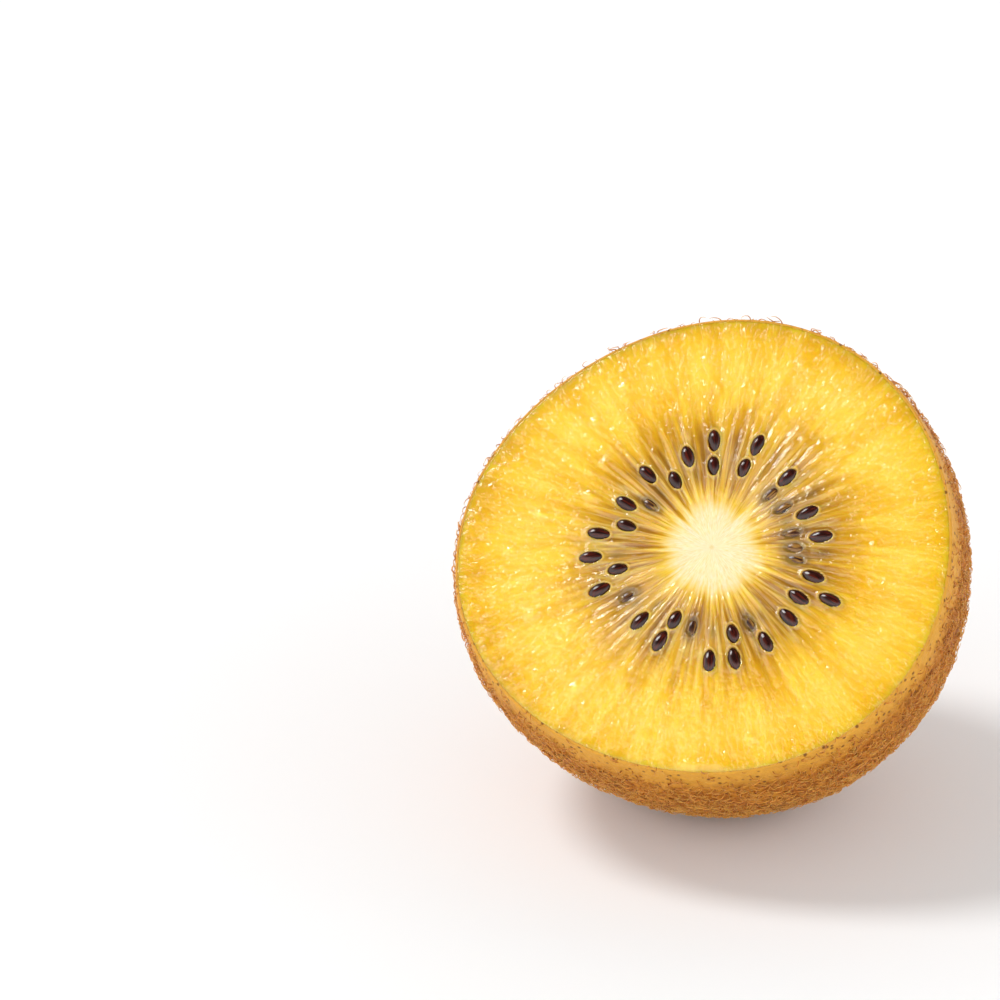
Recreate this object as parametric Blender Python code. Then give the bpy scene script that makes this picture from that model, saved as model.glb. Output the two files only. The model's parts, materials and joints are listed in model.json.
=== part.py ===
"""Half of a golden kiwi fruit, cut across its core and lying on its rounded side.

The skin is a thin cup, the flesh fills it, the pale core runs down its middle, and the seeds
sit round the core in pockets of the cut face. The origin is the small flat spot that the half
rests on, +Z is up, and the cut face looks up and towards -Y.

Each piece is modelled in the fruit's own frame, in millimetres: the cut face is the plane z = 0,
+Z points out of it, and the far pole lies at z = -POLE_DEPTH. One parent turns and places them.
"""

import math

import bmesh
import bpy
from mathutils import Matrix, Vector

MM = 0.001

# Whole fruit, in millimetres
WIDEST_RADIUS = 25.5
POLE_DEPTH = 37.0  # from the cut face to the far pole
WIDEST_DEPTH = 6.8  # from the cut face to the widest section
LENGTH_POWER = 1.835  # 2 is an ellipse; less draws the ends in to blunt points
GIRTH_POWER = 1.74
OVAL = 0.022  # how far two opposite sides swell, as a share of the radius
OVAL_BEARING = math.radians(23)
LOBES = 0.022  # how far the three corners swell
LOBE_BEARING = math.radians(77)

# Pieces, in millimetres
SKIN = 0.6
GAP = 0.3
CORE_CENTRE = Vector((0.7, -0.3, 0.0))
CORE_RADIUS = 5.1
CORE_STRETCH = 1.1  # the core's width over its height on the cut face
CORE_DEPTH = 29.0

# How the half lies
LEAN = math.radians(45)  # between the cut face and the ground
SETTLE = 0.45  # how far its own weight flattens the underside, in millimetres

# Seeds: bearing round the core from +X in degrees, and distance from the core's middle in millimetres
OUTER_SEEDS = (
    (13, 11.0), (28, 10.1), (53, 10.3), (77, 11.6), (99, 11.4), (114, 10.1), (139, 10.4),
    (160, 10.1), (180, 11.7), (192, 12.3), (209, 12.0), (236, 10.3), (252, 10.9), (279, 11.9),
    (291, 12.0), (308, 11.5), (325, 10.9), (337, 10.4), (343, 13.3), (351, 10.8),
)
INNER_SEEDS = (
    (79, 8.9), (99, 8.7), (127, 8.2), (173, 9.1), (201, 9.7), (254, 8.3), (293, 9.4),
)
SUNK_SEEDS = (
    (7, 8.3), (18, 8.2), (38, 8.1), (53, 7.9), (152, 7.9), (219, 9.6), (267, 8.5), (305, 8.9),
    (359, 8.6),
)
SEED_WIDTH = 1.3
SEED_THICKNESS = 1.0
SEED_TAPER = 0.2  # how much narrower the end nearest the core is
POCKET_GAP = 0.22

# Mesh fineness
SIDES = 48
RINGS = 14
CORE_RINGS = 6

# Linear colours
SKIN_COLOUR = (0.42, 0.20, 0.05, 1.0)
FLESH_COLOUR = (0.90, 0.55, 0.03, 1.0)
CORE_COLOUR = (0.93, 0.86, 0.50, 1.0)
SEED_COLOUR = (0.022, 0.006, 0.005, 1.0)


def material(name, colour, roughness):
    made = bpy.data.materials.new(name)
    made.use_nodes = True
    shader = made.node_tree.nodes["Principled BSDF"]
    shader.inputs["Base Color"].default_value = colour
    shader.inputs["Roughness"].default_value = roughness
    shader.inputs["Metallic"].default_value = 0.0
    made.diffuse_color = colour
    return made


def lobed(point):
    """The point moved outwards or inwards so that the round section becomes a soft three-cornered oval."""
    bearing = math.atan2(point.y, point.x)
    swell = OVAL * math.cos(2 * (bearing - OVAL_BEARING)) + LOBES * math.cos(3 * (bearing - LOBE_BEARING))
    share = 1 + swell * (1 + point.z / POLE_DEPTH)
    return Vector((point.x * share, point.y * share, point.z))


def outer_profile():
    """(radius, height) from the rim to the pole on the skin's outer face."""
    reach = POLE_DEPTH - WIDEST_DEPTH
    start = -math.asin((WIDEST_DEPTH / reach) ** (LENGTH_POWER / 2))
    points = []
    for ring in range(RINGS + 1):
        angle = start + (math.pi / 2 - start) * ring / RINGS
        past_widest = math.copysign(reach * abs(math.sin(angle)) ** (2 / LENGTH_POWER), angle)
        radius = WIDEST_RADIUS * max(math.cos(angle), 0.0) ** (2 / GIRTH_POWER)
        points.append(Vector((radius, -WIDEST_DEPTH - past_widest)))
    points[0].y = 0.0
    points[-1].x = 0.0
    return points


def inset_profile(depth):
    """The outer profile moved inwards by depth, its ends kept on the cut face and on the axis."""
    outer = outer_profile()
    inner = []
    for index, point in enumerate(outer):
        before = outer[max(index - 1, 0)]
        after = outer[min(index + 1, RINGS)]
        along = (after - before).normalized()
        inner.append(point + Vector((along.y, -along.x)) * depth)
    inner[0].y = 0.0
    inner[-1] = Vector((0.0, depth - POLE_DEPTH))
    return inner


def core_profile(margin):
    """(radius, height) from the core's rim to its tip, with margin all round for its socket."""
    points = []
    for ring in range(CORE_RINGS + 1):
        angle = math.pi / 2 * ring / CORE_RINGS
        points.append(Vector(((CORE_RADIUS + margin) * math.cos(angle), -(CORE_DEPTH + margin) * math.sin(angle))))
    points[-1].x = 0.0
    return points


def turned(profile):
    """A mesh of the profile turned once round the axis, open at the rim and facing away from the axis."""
    shape = bmesh.new()
    chain = [shape.verts.new((point.x, 0.0, point.y)) for point in profile]
    edges = [shape.edges.new(pair) for pair in zip(chain, chain[1:])]
    bmesh.ops.spin(
        shape, geom=chain + edges, cent=(0, 0, 0), axis=(0, 0, 1), angle=math.tau, steps=SIDES, use_merge=True
    )
    bmesh.ops.remove_doubles(shape, verts=shape.verts, dist=0.001)
    bmesh.ops.recalc_face_normals(shape, faces=shape.faces)
    if sum(face.normal.dot(face.calc_center_median()) for face in shape.faces) < 0:
        bmesh.ops.reverse_faces(shape, faces=shape.faces)
    return shape


def dome(profile):
    """The turned profile, lobed like the fruit."""
    shape = turned(profile)
    for vert in shape.verts:
        vert.co = lobed(vert.co)
    return shape


def core_wall(margin):
    """The core's side, slightly oval and a little off the fruit's axis at the cut face."""
    shape = turned(core_profile(margin))
    for vert in shape.verts:
        vert.co = Vector((vert.co.x * CORE_STRETCH, vert.co.y, vert.co.z)) + CORE_CENTRE
    return shape


def lying():
    """The turn and place that lay the half down, its balance point above the origin, in millimetres."""
    turn = Matrix.Rotation(LEAN, 3, "X")
    profile = outer_profile()
    volume = 0.0
    moment = 0.0
    for upper, lower in zip(profile, profile[1:]):
        slice_volume = ((upper.x + lower.x) / 2) ** 2 * (upper.y - lower.y)
        volume += slice_volume
        moment += slice_volume * (upper.y + lower.y) / 2
    balance = turn @ Vector((0.0, 0.0, moment / volume))
    shape = dome(profile)
    lowest = min((turn @ vert.co).z for vert in shape.verts)
    shape.free()
    return turn.to_4x4(), Vector((0.0, -balance.y, -lowest - SETTLE))


def flatten(shape, pose, height):
    """Presses what lies below height flat, with a clean edge round the flat spot."""
    to_fruit = pose.inverted()
    up = (to_fruit.to_3x3() @ Vector((0, 0, 1))).normalized()
    level = to_fruit @ Vector((0, 0, height))
    geometry = shape.verts[:] + shape.edges[:] + shape.faces[:]
    bmesh.ops.bisect_plane(shape, geom=geometry, dist=1e-5, plane_co=level, plane_no=up)
    for vert in shape.verts:
        below = (vert.co - level).dot(up)
        if below < 0:
            vert.co -= up * below


def joined(outside, inside):
    """One closed mesh of an outer and an inner wall, with their rims bridged across the cut face."""
    bmesh.ops.reverse_faces(inside, faces=inside.faces)
    whole = bmesh.new()
    for shape in (outside, inside):
        part = bpy.data.meshes.new("part")
        shape.to_mesh(part)
        shape.free()
        whole.from_mesh(part)
        bpy.data.meshes.remove(part)
    bmesh.ops.bridge_loops(whole, edges=[edge for edge in whole.edges if edge.is_boundary])
    bmesh.ops.recalc_face_normals(whole, faces=whole.faces)
    return whole


def placed(name, shape, finish, parent):
    """The shape as a named object under the parent, in metres and shaded smooth but for its rim."""
    bmesh.ops.scale(shape, vec=(MM, MM, MM), verts=shape.verts)
    mesh = bpy.data.meshes.new(name)
    shape.to_mesh(mesh)
    shape.free()
    mesh.shade_smooth()
    mesh.set_sharp_from_angle(angle=math.radians(40))
    mesh.materials.append(finish)
    piece = bpy.data.objects.new(name, mesh)
    piece.parent = parent
    bpy.context.scene.collection.objects.link(piece)
    return piece


def seed_shape(length, margin):
    """A seed along X, narrower towards -X, grown by margin all round for its pocket."""
    shape = bmesh.new()
    bmesh.ops.create_uvsphere(shape, u_segments=8, v_segments=5, radius=1.0, matrix=Matrix.Rotation(math.pi / 2, 4, "Y"))
    for vert in shape.verts:
        taper = 1 + SEED_TAPER * vert.co.x
        vert.co.x *= length / 2 + margin
        vert.co.y *= (SEED_WIDTH / 2 + margin) * taper
        vert.co.z *= (SEED_THICKNESS / 2 + margin) * taper
    return shape


def seed_places():
    """Each seed's name, its length, and its place on the cut face."""
    rows = (
        ("seed_outer", OUTER_SEEDS, 2.5, 0.10),
        ("seed_inner", INNER_SEEDS, 2.2, 0.15),
        ("seed_sunk", SUNK_SEEDS, 1.9, 0.35),
    )
    for row, seeds, length, sunk in rows:
        for number, (bearing, distance) in enumerate(seeds, 1):
            turn = Matrix.Rotation(math.radians(bearing), 4, "Z")
            centre = CORE_CENTRE + turn @ Vector((distance, 0, 0)) - Vector((0, 0, sunk))
            yield f"{row}_{number:02d}", length, Matrix.Translation(centre) @ turn


def build():
    for old in list(bpy.data.objects):
        bpy.data.objects.remove(old)

    turn, place = lying()
    pose = Matrix.Translation(place) @ turn
    fruit = bpy.data.objects.new("fruit_axis", None)
    fruit.matrix_world = Matrix.Translation(place * MM) @ turn
    bpy.context.scene.collection.objects.link(fruit)

    outside = dome(outer_profile())
    flatten(outside, pose, 0.0)
    inside = dome(inset_profile(SKIN))
    flatten(inside, pose, SKIN)
    placed("skin", joined(outside, inside), material("skin", SKIN_COLOUR, 0.75), fruit)

    flesh_side = dome(inset_profile(SKIN + GAP))
    flatten(flesh_side, pose, SKIN + GAP)
    flesh = placed("flesh", joined(flesh_side, core_wall(GAP)), material("flesh", FLESH_COLOUR, 0.3), fruit)

    core = core_wall(0.0)
    bmesh.ops.holes_fill(core, edges=[edge for edge in core.edges if edge.is_boundary], sides=SIDES)
    bmesh.ops.recalc_face_normals(core, faces=core.faces)
    placed("core", core, material("core", CORE_COLOUR, 0.45), fruit)

    seed_finish = material("seed", SEED_COLOUR, 0.2)
    pockets = bmesh.new()
    for name, length, where in seed_places():
        seed = seed_shape(length, 0.0)
        seed.transform(where)
        placed(name, seed, seed_finish, fruit)
        pocket = seed_shape(length, POCKET_GAP)
        pocket.transform(where)
        mesh = bpy.data.meshes.new("pocket")
        pocket.to_mesh(mesh)
        pocket.free()
        pockets.from_mesh(mesh)
        bpy.data.meshes.remove(mesh)
    cutter = placed("seed_pockets", pockets, seed_finish, fruit)
    cutter.hide_render = True
    cutter.display_type = "WIRE"
    cut = flesh.modifiers.new("pockets", "BOOLEAN")
    cut.operation = "DIFFERENCE"
    cut.solver = "EXACT"
    cut.use_self = True
    cut.object = cutter


build()
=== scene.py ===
"""The looks of half a golden kiwi fruit, cut across its core and resting on its rounded side.

Every piece is shaped in the fruit's own frame, in millimetres: the cut face is the plane z = 0,
+Z points out of it, and the stem end lies at z = -POLE_DEPTH. placed() turns it into the frame
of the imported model.
"""

import json
import math

import bmesh
import bpy
import numpy as np
from mathutils import Matrix, Vector, noise


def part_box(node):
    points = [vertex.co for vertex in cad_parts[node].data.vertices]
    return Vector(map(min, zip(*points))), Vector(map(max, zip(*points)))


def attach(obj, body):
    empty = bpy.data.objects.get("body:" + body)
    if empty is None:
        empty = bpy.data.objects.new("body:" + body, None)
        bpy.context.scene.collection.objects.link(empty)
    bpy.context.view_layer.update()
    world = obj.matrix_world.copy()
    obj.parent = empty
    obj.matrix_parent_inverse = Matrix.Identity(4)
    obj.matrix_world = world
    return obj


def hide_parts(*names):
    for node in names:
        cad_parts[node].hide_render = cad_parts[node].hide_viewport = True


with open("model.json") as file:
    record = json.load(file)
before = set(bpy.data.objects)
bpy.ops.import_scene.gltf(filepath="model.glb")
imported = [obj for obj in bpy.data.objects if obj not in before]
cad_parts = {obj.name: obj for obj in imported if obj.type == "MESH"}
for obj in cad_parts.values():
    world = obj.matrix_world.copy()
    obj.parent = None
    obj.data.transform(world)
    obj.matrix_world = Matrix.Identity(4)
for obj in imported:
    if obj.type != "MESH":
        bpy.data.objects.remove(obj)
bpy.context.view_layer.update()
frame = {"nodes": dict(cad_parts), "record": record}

MM = 0.001

# The fruit, in millimetres
WIDEST_RADIUS = 25.5
POLE_DEPTH = 37.0
WIDEST_DEPTH = 6.8
LENGTH_POWER = 1.835
GIRTH_POWER = 1.74
OVAL = 0.022
OVAL_BEARING = math.radians(23)
LOBES = 0.022
LOBE_BEARING = math.radians(77)
CORE_CENTRE = Vector((0.7, -0.3, 0.0))
SKIN = 0.16  # skin thickness at the cut edge
FACE_DROOP = 0.45  # how far the cut face falls away at its rim
FLESH_SIDES = 480
SKIN_SIDES = 240
EDGE_HOLD = (-0.4, -2.0)  # the skin's lumps grow from nothing between these heights

# The frame's own places
MOUNTS = {mount["name"]: mount for mount in frame["record"]["mounts"]}
FACE_POINT = 18.5  # the cut_face mount lies this far from the middle of the face, along +X
OUTWARD = Vector(MOUNTS["cut_face"]["axis"]).normalized()
TURN = Vector((0, 0, 1)).rotation_difference(OUTWARD).to_matrix()
FACE_CENTRE = Vector(MOUNTS["cut_face"]["pos_m"]) - Vector((FACE_POINT * MM, 0, 0))

# Seeds, in millimetres
SEED_LENGTHS = {"outer": 2.6, "inner": 2.3, "sunk": 2.4}
SEED_WIDTH = 1.36
SEED_THICKNESS = 0.9
SEED_SINKS = {"outer": 0.10, "inner": 0.14, "sunk": 0.40}  # how far a seed's middle lies below the cut
SEED_SWAY = math.radians(5)

# Hairs, in millimetres
HAIR_PIECES = 4
HAIRS_TRIED = 5600  # places tried for each piece; fewer grow near the cut edge
HAIR_RADIUS = 0.045
HAIR_STEPS = 5
HAIR_SIZES = (0.7, 1.7)
HAIR_ROOT = 0.04  # how deep a hair starts below the skin

# The camera and the light
CAMERA_BEARING = math.radians(15.8)
CAMERA_HEIGHT = math.radians(25.3)
CAMERA_DISTANCE = 450.0
CAMERA_SHIFT = (-20.6, 4.4)  # millimetres right and up of the middle of the face
LENS = 161.7
SENSOR = 36.0
LIGHT_FROM = (-0.56, 0.0, 0.83)
LIGHT_STRENGTH = 1.35
LIGHT_WIDTH = math.radians(20)

rng = np.random.default_rng(7)


# Shared shapes

def smooth(low, high, value):
    """0 below low, 1 above high, and a smooth rise between."""
    share = np.clip((np.asarray(value, float) - low) / (high - low), 0, 1)
    return share * share * (3 - 2 * share)


def lobe(bearing, height):
    """The share by which the round section swells into a soft three-cornered oval."""
    swell = OVAL * np.cos(2 * (bearing - OVAL_BEARING)) + LOBES * np.cos(3 * (bearing - LOBE_BEARING))
    return 1 + swell * (1 + height / POLE_DEPTH)


def skin_line(spacing_of):
    """(radius, height) down the skin's outer side, from the cut edge to the pole.

    spacing_of gives the step in millimetres at a distance from the pole."""
    reach = POLE_DEPTH - WIDEST_DEPTH
    start = -math.asin((WIDEST_DEPTH / reach) ** (LENGTH_POWER / 2))
    angle = np.linspace(start, math.pi / 2, 6000)
    past = np.sign(angle) * reach * np.abs(np.sin(angle)) ** (2 / LENGTH_POWER)
    radius = WIDEST_RADIUS * np.maximum(np.cos(angle), 0) ** (2 / GIRTH_POWER)
    height = -WIDEST_DEPTH - past
    travelled = np.concatenate(([0], np.cumsum(np.hypot(np.diff(radius), np.diff(height)))))
    stops = [0.0]
    while stops[-1] < travelled[-1]:
        stops.append(stops[-1] + spacing_of(travelled[-1] - stops[-1], stops[-1]))
    stops[-1] = travelled[-1]
    line = np.column_stack((np.interp(stops, travelled, radius), np.interp(stops, travelled, height)))
    line[-1, 0] = 0
    return line


def inset(line, depth):
    """A (radius, height) line moved inwards by depth, one number or one for each point."""
    depth = np.broadcast_to(depth, len(line))
    along = np.gradient(line, axis=0)
    along /= np.linalg.norm(along, axis=1)[:, None]
    moved = line + depth[:, None] * np.column_stack((along[:, 1], -along[:, 0]))
    moved[-1] = (0, depth[-1] - POLE_DEPTH)
    return moved


def turned(line, sides):
    """A closed mesh of a (radius, height) line turned once round the fruit's axis."""
    shape = bmesh.new()
    chain = [shape.verts.new((radius, 0.0, height)) for radius, height in line]
    edges = [shape.edges.new(pair) for pair in zip(chain, chain[1:])]
    bmesh.ops.spin(
        shape, geom=chain + edges, cent=(0, 0, 0), axis=(0, 0, 1), angle=math.tau, steps=sides, use_merge=True
    )
    bmesh.ops.remove_doubles(shape, verts=shape.verts, dist=1e-4)
    bmesh.ops.recalc_face_normals(shape, faces=shape.faces)
    return shape


def points_of(shape):
    return np.array([vert.co for vert in shape.verts], float)


def set_points(shape, points):
    for vert, point in zip(shape.verts, points):
        vert.co = point


def to_row(points):
    """Fruit millimetres to the frame's metres."""
    return np.asarray(points) @ np.array(TURN.transposed()) * MM + np.array(FACE_CENTRE)


def to_fruit(point):
    """The frame's metres to fruit millimetres."""
    return TURN.transposed() @ (Vector(point) - FACE_CENTRE) / MM


def placed(name, shape, finish, replaces=(), floor=None):
    """The shape as a finished piece on the body, no lower than floor metres."""
    mesh = bpy.data.meshes.new(name)
    shape.to_mesh(mesh)
    shape.free()
    return finished(name, mesh, finish, replaces, floor)


def finished(name, mesh, finish, replaces=(), floor=None):
    points = np.empty(len(mesh.vertices) * 3, np.float32)
    mesh.vertices.foreach_get("co", points)
    world = to_row(points.reshape(-1, 3))
    if floor is not None:
        world[:, 2] = np.maximum(world[:, 2], floor)
    mesh.vertices.foreach_set("co", world.astype(np.float32).ravel())
    mesh.shade_smooth()
    mesh.materials.append(finish)
    mesh.update()
    piece = bpy.data.objects.new(name, mesh)
    bpy.context.scene.collection.objects.link(piece)
    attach(piece, "root")
    if replaces:
        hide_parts(*replaces)
    return piece


def grain(points, scale, seed):
    """Smooth noise from about -1 to 1 at each point, with features of 1 / scale."""
    shift = Vector((seed * 17.3, seed * 5.1, seed * 9.7))
    return np.array([noise.noise(Vector(point) * scale + shift) for point in points])


def rays(ray, radius, across, along, seed):
    """Noise drawn out along the radius, with `across` features round a turn's radius of 1."""
    points = np.column_stack((ray * across, radius * along))
    return grain(points, 1.0, seed)


# Materials

def linear(colour):
    """An sRGB hex colour as linear RGBA."""
    parts = [int(colour[start:start + 2], 16) / 255 for start in (0, 2, 4)]
    straight = [((part + 0.055) / 1.055) ** 2.4 if part > 0.04045 else part / 12.92 for part in parts]
    return (*straight, 1.0)


def add(tree, kind, links=None, stops=(), **settings):
    """Adds a node, sets it, and links or sets its inputs. stops are a ramp's (place, hex colour) pairs."""
    made = tree.nodes.new("ShaderNode" + kind)
    for name, value in settings.items():
        setattr(made, name, value)
    for key, value in (links or {}).items():
        if isinstance(value, bpy.types.Node):
            value = next(output for output in value.outputs if output.enabled)
        if isinstance(value, bpy.types.NodeSocket):
            tree.links.new(value, made.inputs[key])
        else:
            made.inputs[key].default_value = value
    if stops:
        elements = made.color_ramp.elements
        while len(elements) < len(stops):
            elements.new(1.0)
        for element, (place, colour) in zip(elements, stops):
            element.position = place
            element.color = linear(colour)
    return made


def finish_named(name, **sockets):
    """A new material: its node tree and its shader, with the shader's own sockets set."""
    made = bpy.data.materials.new(name)
    made.use_nodes = True
    shader = made.node_tree.nodes["Principled BSDF"]
    for socket, value in sockets.items():
        shader.inputs[socket.replace("_", " ")].default_value = value
    return made, made.node_tree, shader


def fruit_place(tree, centre=Vector((0, 0, 0))):
    """Object coordinates turned into fruit millimetres about a centre."""
    spot = add(tree, "TexCoord").outputs["Object"]
    back = TURN.transposed()
    shift = -(back @ FACE_CENTRE) / MM - centre
    return add(tree, "Mapping", {
        "Vector": spot, "Location": shift, "Rotation": back.to_euler(), "Scale": (1 / MM,) * 3,
    }, vector_type="POINT")


def band(tree, value, rise, fall):
    """1 between rise and fall, each a (start, end) pair in the value's own unit."""
    up = step(tree, value, *rise)
    down = add(tree, "MapRange", {
        "Value": value, "From Min": fall[0], "From Max": fall[1], "To Min": 1.0, "To Max": 0.0,
    }, interpolation_type="SMOOTHSTEP")
    return product(tree, up, down)


def fading(tree, value, low, high, most=1.0):
    """most at low, falling straight to nothing at high."""
    return add(tree, "MapRange", {
        "Value": value, "From Min": low, "From Max": high, "To Min": most, "To Max": 0.0,
    })


def blended(tree, share, first, second):
    return add(tree, "Mix", {0: share, 6: first, 7: second}, data_type="RGBA")


def product(tree, *values):
    """The values multiplied together."""
    total = values[0]
    for value in values[1:]:
        total = add(tree, "Math", {0: total, 1: value}, operation="MULTIPLY")
    return total


def total_of(tree, *values):
    total = values[0]
    for value in values[1:]:
        total = add(tree, "Math", {0: total, 1: value}, operation="ADD")
    return total


def step(tree, value, low, high):
    """0 to 1 as value goes from low to high."""
    return add(
        tree, "MapRange", {"Value": value, "From Min": low, "From Max": high}, interpolation_type="SMOOTHSTEP"
    )


def flesh_finish():
    """Ripe golden kiwi flesh, freshly cut and wet. Light goes a few millimetres into it, and its juice
    gives small bright glints on the ridges that run out from the core."""
    made, tree, shader = finish_named(
        "cut_kiwi_flesh", Roughness=0.5, IOR=1.36, Specular_IOR_Level=0.15,
        Subsurface_Weight=0.8, Subsurface_Scale=0.0018,
        Coat_Weight=1.0, Coat_Roughness=0.05, Coat_IOR=1.7,
    )
    shader.inputs["Subsurface Radius"].default_value = (1.0, 0.6, 0.15)
    place = fruit_place(tree, CORE_CENTRE)
    flat = add(tree, "VectorMath", {0: place, 1: (1, 1, 0)}, operation="MULTIPLY")
    radius = add(tree, "VectorMath", {0: flat}, operation="LENGTH")
    ray = add(tree, "VectorMath", {0: flat}, operation="NORMALIZE")

    def drawn(across, along, detail, seed):
        """Noise drawn out along the rays: across features per radian, along features per millimetre."""
        out = add(tree, "Math", {0: radius, 1: along, 2: seed}, operation="MULTIPLY_ADD")
        up = add(tree, "CombineXYZ", {"Z": out})
        where = add(tree, "VectorMath", {0: ray, 1: (across,) * 3, 2: up}, operation="MULTIPLY_ADD")
        return add(tree, "TexNoise", {"Vector": where, "Scale": 1.0, "Detail": detail, "Roughness": 0.5})

    def about_zero(value, size):
        """Noise shifted to lie about zero, and scaled."""
        return add(tree, "Math", {0: value, 1: size, 2: -0.5 * size}, operation="MULTIPLY_ADD")

    # The core's edge wanders in and out: a soft many-cornered shape, with teeth along the rays
    near_core = band(tree, radius, (1.0, 3.0), (6.5, 9.5))
    corners = about_zero(drawn(1.9, 0.0, 1.0, 61.0), 3.2)
    teeth = about_zero(drawn(12.0, 0.0, 3.0, 5.0), 3.4)
    wander = product(tree, near_core, total_of(tree, corners, teeth))
    wandering = total_of(tree, radius, wander)
    span = add(tree, "Math", {0: wandering, 1: 25.0}, operation="DIVIDE")

    # Cream core, olive gold seed chambers and lemon yellow outer flesh: the bright rays, and the deep
    # gold between them
    bright = add(tree, "ValToRGB", {0: span}, stops=(
        (0.0, "FBEAC6"), (0.13, "FBE5B4"), (0.18, "FADA8E"), (0.22, "F1CA44"), (0.27, "DFAE36"),
        (0.38, "DAA73A"), (0.48, "DFAC20"), (0.56, "F0C024"), (0.66, "F9D03E"), (0.78, "FBD34C"),
        (0.90, "F7C930"), (0.965, "EFBA14"),
    ))
    deep = add(tree, "ValToRGB", {0: span}, stops=(
        (0.0, "FDEAB0"), (0.13, "FCE6A0"), (0.18, "F2CE62"), (0.215, "D49E08"), (0.27, "AC7408"),
        (0.38, "9A690C"), (0.47, "A97304"), (0.54, "CC9402"), (0.64, "EDB60E"), (0.78, "F6C636"),
        (0.90, "F0BB12"), (0.965, "E0A800"),
    ))
    broad = drawn(9.0, 0.10, 2.0, 3.0)
    fine = drawn(34.0, 0.22, 3.0, 11.0)
    mixed = add(tree, "Mix", {0: 0.32, 2: broad, 3: fine})
    between = step(tree, mixed, 0.40, 0.61)
    colour = blended(tree, between, bright, deep)

    # Pale walls between the seed chambers
    wall_noise = drawn(11.0, 0.09, 1.5, 29.0)
    off_wall = add(tree, "Math", {
        0: add(tree, "Math", {0: wall_noise, 1: 0.5}, operation="SUBTRACT"),
    }, operation="ABSOLUTE")
    wall = fading(tree, off_wall, 0.0, 0.05)
    chambers = band(tree, radius, (4.8, 6.5), (11.5, 16.0))
    colour = blended(tree, product(tree, wall, chambers, 0.45), colour, linear("F2D474"))

    # Deep golden clouds where the chambers end
    cloud = step(tree, drawn(5.5, 0.28, 2.0, 41.0), 0.5, 0.68)
    tips = band(tree, radius, (11.5, 13.5), (15.0, 18.5))
    colour = blended(tree, product(tree, cloud, tips, 0.6), colour, linear("D8A000"))

    # The core's short fibres, and the small dimple at its middle
    fibre = drawn(24.0, 1.7, 3.0, 71.0)
    fibres = add(tree, "ValToRGB", {0: fibre}, stops=((0.34, "EFD596"), (0.5, "F9E7BC"), (0.66, "FDF3DC")))
    colour = blended(tree, fading(tree, wandering, 3.2, 5.0, 0.6), colour, fibres)
    colour = blended(tree, fading(tree, radius, 0.12, 0.34, 0.6), colour, linear("E9CF86"))

    # Painted shade: brown shadows where seeds lie deeper, and darker flesh round every seed's pocket. The
    # flesh is orange against each open seed
    shade = add(tree, "Attribute", attribute_name="shade")
    lip = add(tree, "Attribute", attribute_name="lip")
    colour = blended(tree, product(tree, shade.outputs["Fac"], 0.85), colour, linear("5E4418"))
    colour = blended(tree, product(tree, lip.outputs["Fac"], 0.7), colour, linear("F0B848"))
    tree.links.new(colour.outputs[2], shader.inputs["Base Color"])

    # Juice on the cut: ridges along the rays near the core, broken crests on the chamber walls, and small
    # drawn-out beads towards the skin. The beads are only in the juice, so the flesh itself stays smooth.
    broken = step(tree, drawn(14.0, 0.9, 2.0, 83.0), 0.38, 0.56)
    ridges = product(tree, fine, chambers, 0.10)
    crest = fading(tree, off_wall, 0.0, 0.15)
    walls = product(tree, crest, broken, band(tree, radius, (5.5, 7.0), (17.0, 22.0)), 0.06)
    cells = drawn(56.0, 1.0, 1.0, 53.0)
    outer = band(tree, radius, (11.0, 18.0), (26.0, 27.0))
    beads = product(tree, step(tree, cells, 0.48, 0.64), outer, 0.085)
    wet = product(tree, add(tree, "TexNoise", {"Vector": place, "Scale": 1.6, "Detail": 2.0}), 0.08)
    flesh_height = total_of(tree, ridges, walls, wet)
    juice_height = total_of(tree, ridges, walls, beads, wet)
    for socket, strength, height in (("Normal", 0.35, flesh_height), ("Coat Normal", 1.0, juice_height)):
        bump = add(tree, "Bump", {"Height": height, "Strength": strength, "Distance": MM})
        tree.links.new(bump.outputs[0], shader.inputs[socket])
    return made


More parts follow.
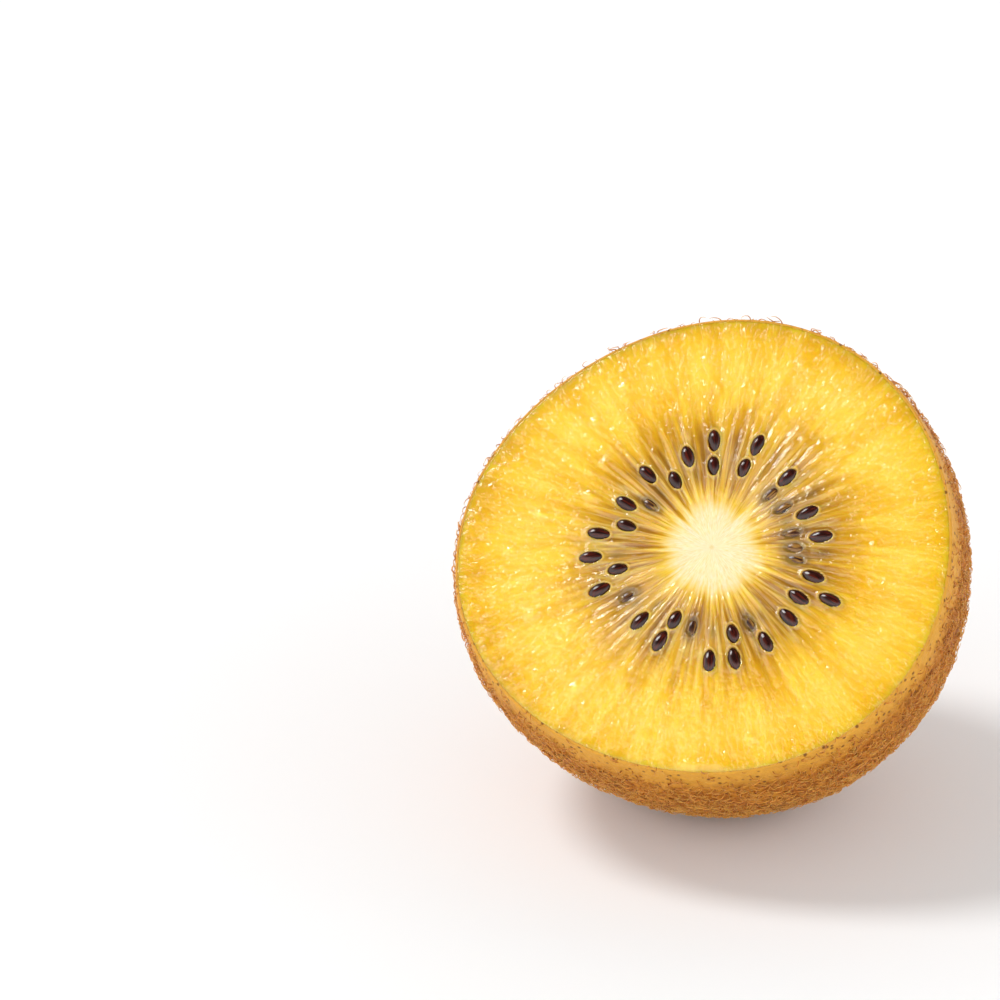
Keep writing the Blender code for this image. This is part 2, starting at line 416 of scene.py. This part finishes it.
def skin_finish():
    """Golden kiwi skin: thin, dry and leathery, tan over yellow, with fine brown pores and a faint gloss."""
    made, tree, shader = finish_named(
        "kiwi_skin", Roughness=0.55, IOR=1.3, Subsurface_Weight=0.12, Subsurface_Scale=0.0006
    )
    shader.inputs["Subsurface Radius"].default_value = (1.0, 0.5, 0.2)
    place = fruit_place(tree)
    height = add(tree, "SeparateXYZ", {0: place}).outputs["Z"]
    blotch = add(tree, "TexNoise", {"Vector": place, "Scale": 0.22, "Detail": 4.0, "Roughness": 0.6})
    mottle = add(tree, "TexNoise", {"Vector": place, "Scale": 1.6, "Detail": 3.0})
    body = add(tree, "ValToRGB", {0: add(tree, "Mix", {0: 0.5, 2: blotch, 3: mottle})}, stops=(
        (0.32, "8A4808"), (0.46, "AC6410"), (0.56, "C47E20"), (0.7, "D89A3C"),
    ))
    smooth_edge = step(tree, height, -5.0, -0.5)
    colour = blended(tree, product(tree, smooth_edge, 0.8), body, linear("DDA238"))

    # Pores: small dark dots about a millimetre apart
    cells = add(tree, "TexVoronoi", {"Vector": place, "Scale": 1.15, "Randomness": 1.0})
    pore = fading(tree, cells.outputs["Distance"], 0.13, 0.27)
    colour = blended(tree, product(tree, pore, 0.8), colour, linear("5A2A08"))
    tree.links.new(colour.outputs[2], shader.inputs["Base Color"])

    wrinkle = add(tree, "TexNoise", {"Vector": place, "Scale": 2.6, "Detail": 4.0, "Roughness": 0.6})
    leather = add(tree, "TexVoronoi", {"Vector": place, "Scale": 2.4, "Randomness": 1.0})
    creases = product(tree, leather.outputs["Distance"], 0.06)
    relief = total_of(tree, product(tree, wrinkle, 0.10), creases, product(tree, pore, 0.05))
    bump = add(tree, "Bump", {"Height": relief, "Strength": 1.0, "Distance": MM})
    tree.links.new(bump.outputs[0], shader.inputs["Normal"])
    return made


def hair_finish():
    """The skin's short hairs: dry and rust-brown at the root, golden and a little see-through at the tip."""
    made, tree, shader = finish_named(
        "kiwi_hair", Roughness=0.45, IOR=1.4, Subsurface_Weight=0.25, Subsurface_Scale=0.0003
    )
    tip = add(tree, "Attribute", attribute_name="tip")
    place = fruit_place(tree)
    patch = add(tree, "TexNoise", {"Vector": place, "Scale": 0.6, "Detail": 2.0})
    root = add(tree, "ValToRGB", {0: patch}, stops=((0.35, "8E480A"), (0.65, "BC7018")))
    colour = blended(tree, tip.outputs["Fac"], root, linear("E8AC50"))
    tree.links.new(colour.outputs[2], shader.inputs["Base Color"])
    return made


def seed_finish(name, stops, roughness):
    """A ripe kiwi seed coat: very dark red-brown, smooth and wet, with faint lengthwise streaks."""
    made, tree, shader = finish_named(name, Roughness=roughness, IOR=1.52)
    along = add(tree, "Attribute", attribute_name="along")
    vector = add(tree, "VectorMath", {0: along.outputs["Vector"], 1: (0.6, 5.0, 5.0)}, operation="MULTIPLY")
    streak = add(tree, "TexNoise", {"Vector": vector, "Scale": 1.0, "Detail": 3.0})
    colour = add(tree, "ValToRGB", {0: streak}, stops=stops)
    tree.links.new(colour.outputs[0], shader.inputs["Base Color"])
    bump = add(tree, "Bump", {"Height": streak, "Strength": 0.25, "Distance": 0.00008})
    tree.links.new(bump.outputs[0], shader.inputs["Normal"])
    return made


def scar_finish():
    """The dry, woody scar where the stalk broke off: rough, grey-brown, ringed like cork."""
    made, tree, shader = finish_named("stem_scar_cork", Roughness=0.85)
    place = fruit_place(tree)
    flat = add(tree, "VectorMath", {0: place, 1: (1, 1, 0)}, operation="MULTIPLY")
    radius = add(tree, "VectorMath", {0: flat}, operation="LENGTH")
    crumbs = add(tree, "TexNoise", {"Vector": place, "Scale": 3.0, "Detail": 4.0})
    rings = add(tree, "Math", {0: radius, 1: 7.0, 2: product(tree, crumbs, 4.0)}, operation="MULTIPLY_ADD")
    wave = add(tree, "Math", {0: rings}, operation="SINE")
    colour = add(tree, "ValToRGB", {0: step(tree, wave, -1.2, 1.2)}, stops=(
        (0.0, "5A3716"), (0.6, "8C5E2E"), (1.0, "B58A54"),
    ))
    tree.links.new(colour.outputs[0], shader.inputs["Base Color"])
    relief = total_of(tree, product(tree, wave, 0.05), product(tree, crumbs, 0.25))
    bump = add(tree, "Bump", {"Height": relief, "Strength": 1.0, "Distance": MM})
    tree.links.new(bump.outputs[0], shader.inputs["Normal"])
    return made


# Pieces

def seeds():
    """Every seed of the frame: its node, kind, place on the face in fruit millimetres, and bearing."""
    found = []
    for node in sorted(frame["nodes"]):
        if node.startswith("seed_"):
            low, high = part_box(node)
            centre = to_fruit((low + high) / 2)
            out = centre - CORE_CENTRE
            found.append((node, node.split("_")[1], centre, math.atan2(out.y, out.x)))
    return found


def seed_frame(points, centre, bearing):
    """Points in a seed's own directions: outwards from the core, and across."""
    away = points[:, :2] - np.array(centre[:2])
    along = away @ np.array((math.cos(bearing), math.sin(bearing)))
    across = away @ np.array((-math.sin(bearing), math.cos(bearing)))
    return along, across


def spot_at(bearing_deg, far):
    """A bearing in radians, and the point that lies far millimetres from the core's middle that way."""
    turn = math.radians(bearing_deg)
    return turn, CORE_CENTRE + Vector((math.cos(turn), math.sin(turn), 0)) * far


# Seeds that lie too deep to be cut and only show as shadows: bearing in degrees, millimetres from the core
DEEP_SEEDS = (
    (27, 7.9), (37, 11.2), (112, 8.0), (141, 8.0), (192, 9.8),
    (226, 9.4), (237, 8.1), (281, 8.9), (314, 9.1), (4, 11.2),
)

# Drops of juice standing on the cut: bearing in degrees, millimetres from the core, then half the drop's
# size across the ray and along it
JUICE_DROPS = (
    (-83, 22.6, 2.2, 0.55), (-69, 20.4, 0.45, 0.6), (8, 16.4, 0.5, 0.35), (164, 13.6, 0.4, 0.9),
    (149, 14.6, 0.5, 0.5), (113, 12.4, 0.3, 0.6), (73, 21.2, 0.9, 0.4), (127, 20.0, 0.6, 0.4),
    (188, 20.5, 0.35, 0.6), (209, 19.0, 0.3, 0.8), (98, 17.0, 0.3, 0.5), (236, 19.6, 0.35, 0.6),
    (176, 17.8, 0.3, 0.7), (140, 18.6, 0.4, 0.45),
)


def flesh_piece(every_seed):
    """The flesh: a finely ridged wet face over a closed body that fills the skin."""
    radii = np.concatenate((
        np.arange(0.0, 5.0, 0.25), np.arange(5.0, 15.0, 0.11), np.arange(15.0, WIDEST_RADIUS, 0.19),
    ))
    outside = skin_line(lambda to_pole, done: 0.5 if done < 3.0 else 3.0)
    wall = inset(outside, SKIN / 2 + 0.8 * smooth(0.3, 2.5, -outside[:, 1]))
    rim = wall[0, 0]
    face = np.column_stack((radii[radii < rim - 0.1], np.zeros((radii < rim - 0.1).sum())))
    wall[0] = (rim, -0.05)
    shape = turned(np.concatenate((face, [(rim - 0.05, 0.0)], wall)), FLESH_SIDES)

    points = points_of(shape)
    bearing = np.arctan2(points[:, 1], points[:, 0])
    share = np.hypot(points[:, 0], points[:, 1]) / rim
    on_face = points[:, 2] > -0.2
    swell = lobe(bearing, points[:, 2])
    points[:, 0] *= swell
    points[:, 1] *= swell

    out = points[:, :2] - np.array(CORE_CENTRE[:2])
    radius = np.maximum(np.hypot(out[:, 0], out[:, 1]), 1e-6)
    ray = out / radius[:, None]
    chambers = smooth(4.6, 6.2, radius) * (1 - smooth(12.0, 18.0, radius))
    outer = smooth(9.0, 17.0, radius)
    relief = 0.12 * (1 - smooth(0.0, 6.5, radius))
    relief += 0.34 * chambers * np.abs(rays(ray, radius, 13.0, 0.10, 1))
    relief += 0.13 * chambers * rays(ray, radius, 34.0, 0.2, 2)
    relief += outer * (0.07 * rays(ray, radius, 26.0, 0.5, 3) + 0.05 * rays(ray, radius, 55.0, 1.1, 4))
    relief += 0.02 * grain(points, 3.0, 5)
    height = -FACE_DROOP * share ** 6 + relief * (1 - smooth(0.96, 0.995, share))
    for bearing_deg, far, half_across, half_along in JUICE_DROPS:
        along, across = seed_frame(points, *reversed(spot_at(bearing_deg, far)))
        height += 0.5 * half_along * np.exp(-((along / half_along) ** 2 + (across / half_across) ** 2))

    lip = np.zeros(len(points))
    shade = np.zeros(len(points))
    for _, kind, centre, turn in every_seed:
        along, across = seed_frame(points, centre, turn)
        edge = np.hypot(along / (SEED_LENGTHS[kind] / 2), across / (SEED_WIDTH / 2))
        sunk = kind == "sunk"
        pocket = 1 - smooth(0.72, 0.98, edge)
        floor = -0.06 + 0.16 * rays(ray, radius, 30.0, 0.5, 6) if sunk else -0.4
        height = height * (1 - pocket) + pocket * floor
        height += (0.04 if sunk else 0.16) * np.exp(-((edge - 0.98) / 0.17) ** 2)
        lip = np.maximum(lip, (0.2 if sunk else 1.0) * np.exp(-((edge - 1.02) / 0.10) ** 2))
        # painted shade: the flesh darkens round each seed's pocket, most round the covered seeds
        depth, reach = (0.75, 0.45) if sunk else (0.45, 0.3)
        shade = np.maximum(shade, depth * np.exp(-(np.maximum(edge - 0.9, 0) / reach) ** 2))
    for bearing_deg, far in DEEP_SEEDS:
        along, across = seed_frame(points, *reversed(spot_at(bearing_deg, far)))
        shade = np.maximum(shade, 0.6 * np.exp(-(along ** 2 + (across / 0.45) ** 2)))
    points[:, 2] += np.where(on_face, height, 0.0)
    set_points(shape, points)

    mesh = bpy.data.meshes.new("flesh_cut")
    shape.to_mesh(mesh)
    shape.free()
    for name, values in (("lip", lip * on_face), ("shade", shade * on_face)):
        mesh.attributes.new(name, "FLOAT", "POINT").data.foreach_set("value", values.astype(np.float32))
    return finished("flesh_cut", mesh, flesh_finish(), ("flesh", "core"), floor=SKIN * MM)


def skin_relief(points):
    """How far the skin stands out at each point: soft lumps, and the collar and hollow of the stem scar."""
    relief = 0.14 * grain(points, 0.3, 21) + 0.05 * grain(points, 0.9, 22) + 0.03 * grain(points, 2.2, 23)
    to_pole = np.where(points[:, 2] < -POLE_DEPTH / 2, np.hypot(points[:, 0], points[:, 1]), 99.0)
    ring = to_pole + 0.5 * grain(points, 0.8, 24)
    collar = 0.55 * np.exp(-((ring - 3.3) / 0.8) ** 2) + 0.2 * np.exp(-((ring - 2.0) / 0.35) ** 2)
    return relief + collar - 0.55 * (1 - smooth(1.6, 2.9, ring))


def pushed(points, relief):
    """Points moved by relief away from the middle of the fruit."""
    middle = np.array((0.0, 0.0, -WIDEST_DEPTH))
    outward = points - middle
    outward[:, 2] *= 0.8
    outward /= np.linalg.norm(outward, axis=1)[:, None]
    return points + outward * relief[:, None]


def skin_piece():
    """The skin: a thin closed cup whose cut edge stands just proud of the flesh's rim."""
    outside = skin_line(lambda to_pole, done: 0.2 if done < 1.0 or to_pole < 6.0 else 0.45)
    inside = inset(skin_line(lambda to_pole, done: 2.0), SKIN * 0.9)
    inside[0, 1] = -FACE_DROOP
    outside[:, 1] = np.minimum(outside[:, 1], -FACE_DROOP - 0.01)
    edge = np.array([[(inside[0, 0] + outside[0, 0]) / 2, -FACE_DROOP + 0.04]])
    shape = turned(np.concatenate((inside[::-1], edge, outside[1:])), SKIN_SIDES)
    points = points_of(shape)
    swell = lobe(np.arctan2(points[:, 1], points[:, 0]), points[:, 2])
    points[:, 0] *= swell
    points[:, 1] *= swell
    set_points(shape, pushed(points, skin_relief(points) * smooth(*EDGE_HOLD, points[:, 2])))
    return placed("skin_shell", shape, skin_finish(), ("skin",), floor=0.0)


# How a hair leaves the skin, bends over and swirls aside, in radians
HAIR_BENDS = (
    (0.6, 1.5, 1.6), (1.0, 0.9, -2.4), (0.2, 2.9, 1.0), (0.9, 0.8, 3.6), (0.5, 2.2, -1.8), (1.2, 0.3, 1.2),
)


def hair_shape(lean, curl, swirl):
    """One short hair, 1 mm along its curve, as points and faces: three-sided and tapering.

    It leaves the skin at lean from upright, and by its tip has bent over by curl and sideways by swirl."""
    shape = bmesh.new()
    bmesh.ops.create_circle(shape, segments=3, radius=HAIR_RADIUS, cap_ends=False)
    ring = shape.edges[:]
    for _ in range(HAIR_STEPS):
        grown = bmesh.ops.extrude_edge_only(shape, edges=ring)
        corners = [item for item in grown["geom"] if isinstance(item, bmesh.types.BMVert)]
        bmesh.ops.translate(shape, vec=(0, 0, 1 / HAIR_STEPS), verts=corners)
        ring = [
            item for item in grown["geom"]
            if isinstance(item, bmesh.types.BMEdge) and all(vert in corners for vert in item.verts)
        ]
    points = points_of(shape)
    along = points[:, 2].copy()
    narrow = 1 - 0.75 * along ** 1.5
    fine = np.linspace(0, 1, 101)
    bend = lean + curl * fine
    aside = swirl * fine
    heading = np.column_stack((np.sin(bend) * np.cos(aside), np.sin(bend) * np.sin(aside), np.cos(bend)))
    path = np.concatenate((np.zeros((1, 3)), np.cumsum((heading[1:] + heading[:-1]) / 200, axis=0)))
    centre = np.column_stack([np.interp(along, fine, path[:, axis]) for axis in range(3)])
    forward = np.column_stack([np.interp(along, fine, heading[:, axis]) for axis in range(3)])
    side = np.cross(forward, (0.0, 0.0, 1.0)) + (0.0, 1e-3, 0.0)
    side /= np.linalg.norm(side, axis=1)[:, None]
    over = np.cross(side, forward)
    hair = centre + (side * points[:, 0:1] + over * points[:, 1:2]) * narrow[:, None]
    shape.verts.index_update()
    faces = np.array([[vert.index for vert in face.verts] for face in shape.faces])
    shape.free()
    return hair, faces, along


def hair_roots(count):
    """Places on the skin, evenly by area but thin near the cut edge, with the skin's outward direction."""
    line = skin_line(lambda to_pole, done: 0.1)
    ring = line[:, 0]
    chosen = rng.choice(len(line), size=count * 2, p=ring / ring.sum())
    height = line[chosen, 1]
    keep = rng.random(count * 2) < 0.15 + 0.85 * smooth(-1.0, -5.0, height)
    chosen = chosen[keep][:count]
    around = rng.random(len(chosen)) * math.tau
    slope = np.gradient(line, axis=0)[chosen]
    slope /= np.linalg.norm(slope, axis=1)[:, None]
    radius, height = line[chosen].T
    swell = lobe(around, height)
    points = np.column_stack((radius * swell * np.cos(around), radius * swell * np.sin(around), height))
    outward = np.column_stack((-slope[:, 1] * np.cos(around), -slope[:, 1] * np.sin(around), slope[:, 0]))
    return pushed(points, skin_relief(points) * smooth(*EDGE_HOLD, points[:, 2])), outward


def hair_pieces():
    """The fuzz, in a few pieces of many hairs each. It lies in all directions, mostly close to the skin."""
    finish = hair_finish()
    kinds = [hair_shape(*bends) for bends in HAIR_BENDS]
    for number in range(HAIR_PIECES):
        name = f"skin_hairs_{number + 1}"
        roots, outward = hair_roots(HAIRS_TRIED)
        around = np.cross(outward, (0.0, 0.0, 1.0))
        around /= np.linalg.norm(around, axis=1)[:, None] + 1e-9
        down = np.cross(outward, around)
        turn = rng.random(len(roots)) * math.tau
        forward = around * np.cos(turn)[:, None] + down * np.sin(turn)[:, None]
        side = np.cross(outward, forward)
        size = rng.uniform(*HAIR_SIZES, len(roots))
        kind = rng.integers(0, len(kinds), len(roots))
        all_points, all_faces, all_tips, start = [], [], [], 0
        for index, (hair, faces, along) in enumerate(kinds):
            mine = kind == index
            local = hair[None] * size[mine, None, None]
            copies = (
                roots[mine, None] - outward[mine, None] * HAIR_ROOT + local[..., 0:1] * forward[mine, None]
                + local[..., 1:2] * side[mine, None] + local[..., 2:3] * outward[mine, None]
            )
            total = mine.sum()
            firsts = start + len(hair) * np.arange(total)
            all_points.append(copies.reshape(-1, 3))
            all_faces.append((faces[None] + firsts[:, None, None]).reshape(-1, faces.shape[1]))
            all_tips.append(np.tile(along, total))
            start += total * len(hair)
        mesh = bpy.data.meshes.new(name)
        mesh.from_pydata(np.concatenate(all_points).tolist(), [], np.concatenate(all_faces).tolist())
        tips = np.concatenate(all_tips).astype(np.float32)
        mesh.attributes.new("tip", "FLOAT", "POINT").data.foreach_set("value", tips)
        finished(name, mesh, finish, floor=0.02 * MM)


def seed_pieces(every_seed):
    """Each seed: a plump ellipse, pointed at both ends and narrower towards the core."""
    ripe = seed_finish("kiwi_seed_coat", ((0.3, "160302"), (0.5, "300A04"), (0.7, "581A0C")), 0.13)
    covered = seed_finish("covered_seed_coat", ((0.3, "1E0C06"), (0.47, "4E2A12"), (0.62, "9A6E30")), 0.22)
    for node, kind, centre, bearing in every_seed:
        shape = bmesh.new()
        bmesh.ops.create_uvsphere(
            shape, u_segments=28, v_segments=18, radius=1.0, matrix=Matrix.Rotation(math.pi / 2, 4, "Y")
        )
        points = points_of(shape)
        along = points[:, 0].copy()
        slim = (1 + 0.12 * along) * (1 - 0.22 * np.abs(along) ** 3)
        grow = rng.uniform(0.95, 1.04)
        points *= np.array((SEED_LENGTHS[kind] / 2 * grow, SEED_WIDTH / 2, SEED_THICKNESS / 2))
        points[:, 1:] *= slim[:, None]
        local = points.copy()
        swing = bearing + rng.normal(0, SEED_SWAY)
        tilt = Matrix.Rotation(swing, 3, "Z") @ Matrix.Rotation(rng.normal(0, SEED_SWAY), 3, "X")
        middle = np.array((centre.x, centre.y, -SEED_SINKS[kind]))
        set_points(shape, points @ np.array(tilt.transposed()) + middle)
        bmesh.ops.recalc_face_normals(shape, faces=shape.faces)
        mesh = bpy.data.meshes.new(node + "_coat")
        shape.to_mesh(mesh)
        shape.free()
        local += rng.uniform(-20, 20, 3)  # so that no two seeds have the same streaks
        places = local.astype(np.float32).ravel()
        mesh.attributes.new("along", "FLOAT_VECTOR", "POINT").data.foreach_set("vector", places)
        finished(node + "_coat", mesh, covered if kind == "sunk" else ripe, (node,))


def scar_piece():
    """The stem scar: a small corky disc in the hollow at the pole, with the stub of the stalk."""
    line = np.array((
        (0.0, 0.42), (0.5, 0.40), (0.75, 0.25), (0.85, 0.02), (1.2, -0.04), (1.5, 0.12), (1.8, 0.10),
        (2.1, -0.10), (2.2, -0.5), (0.0, -0.6),
    ))
    line[:, 1] = -(POLE_DEPTH - 0.45) - line[:, 1]
    shape = turned(line, 64)
    bmesh.ops.subdivide_edges(shape, edges=shape.edges, cuts=1, use_grid_fill=True)
    points = points_of(shape)
    points[:, 2] += 0.07 * grain(points, 2.2, 31)
    points[:, :2] *= (1 + 0.12 * grain(points, 0.9, 32))[:, None]
    set_points(shape, points)
    return placed("stem_scar", shape, scar_finish())


# Setting

def floor_and_light():
    """A plain white table under a soft, high light from the left, in a white room with a dark ceiling.

    The dark ceiling keeps the wet cut and the seeds from being veiled by its reflection."""
    shape = bmesh.new()
    bmesh.ops.create_grid(shape, x_segments=1, y_segments=1, size=3.0)
    mesh = bpy.data.meshes.new("table")
    shape.to_mesh(mesh)
    shape.free()
    paint, _, _ = finish_named("matt_white_table", Base_Color=(0.9, 0.9, 0.9, 1.0), Roughness=0.9)
    mesh.materials.append(paint)
    table = bpy.data.objects.new("table", mesh)
    table.location.z = -0.02 * MM
    bpy.context.scene.collection.objects.link(table)

    room = bpy.data.worlds.new("white_room")
    room.use_nodes = True
    tree = room.node_tree
    height = add(tree, "SeparateXYZ", {0: add(tree, "TexCoord").outputs["Generated"]}).outputs["Z"]
    glow = add(tree, "MapRange", {
        "Value": height, "From Min": 0.50, "From Max": 0.84, "To Min": 1.68, "To Max": 0.11,
    }, interpolation_type="SMOOTHSTEP")
    tree.links.new(glow.outputs[0], tree.nodes["Background"].inputs["Strength"])
    tree.nodes["Background"].inputs["Color"].default_value = (1.0, 1.0, 1.0, 1.0)
    bpy.context.scene.world = room

    lamp = bpy.data.lights.new("high_left", "SUN")
    lamp.energy = LIGHT_STRENGTH
    lamp.angle = LIGHT_WIDTH
    light = bpy.data.objects.new("high_left", lamp)
    light.rotation_euler = Vector(LIGHT_FROM).to_track_quat("Z", "Y").to_euler()
    bpy.context.scene.collection.objects.link(light)


def camera():
    """Looks down on the cut face from a little to the right, with the half right of the middle."""
    right = Vector((math.cos(CAMERA_BEARING), math.sin(CAMERA_BEARING), 0))
    level = Vector((math.sin(CAMERA_BEARING), -math.cos(CAMERA_BEARING), 0))
    back = level * math.cos(CAMERA_HEIGHT) + Vector((0, 0, math.sin(CAMERA_HEIGHT)))
    up = back.cross(right)
    lens = bpy.data.cameras.new("camera")
    lens.lens = LENS
    lens.sensor_width = SENSOR
    lens.clip_start = 0.01
    lens.clip_end = 20.0
    eye = bpy.data.objects.new("camera", lens)
    aside, above = CAMERA_SHIFT
    eye.location = FACE_CENTRE + (back * CAMERA_DISTANCE + right * aside + up * above) * MM
    eye.rotation_euler = Matrix((right, up, back)).transposed().to_euler()
    bpy.context.scene.collection.objects.link(eye)
    bpy.context.scene.camera = eye


def build():
    camera()
    floor_and_light()
    every_seed = seeds()
    flesh_piece(every_seed)
    seed_pieces(every_seed)
    skin_piece()
    scar_piece()
    hair_pieces()
    bpy.context.scene.view_settings.view_transform = "Standard"


build()
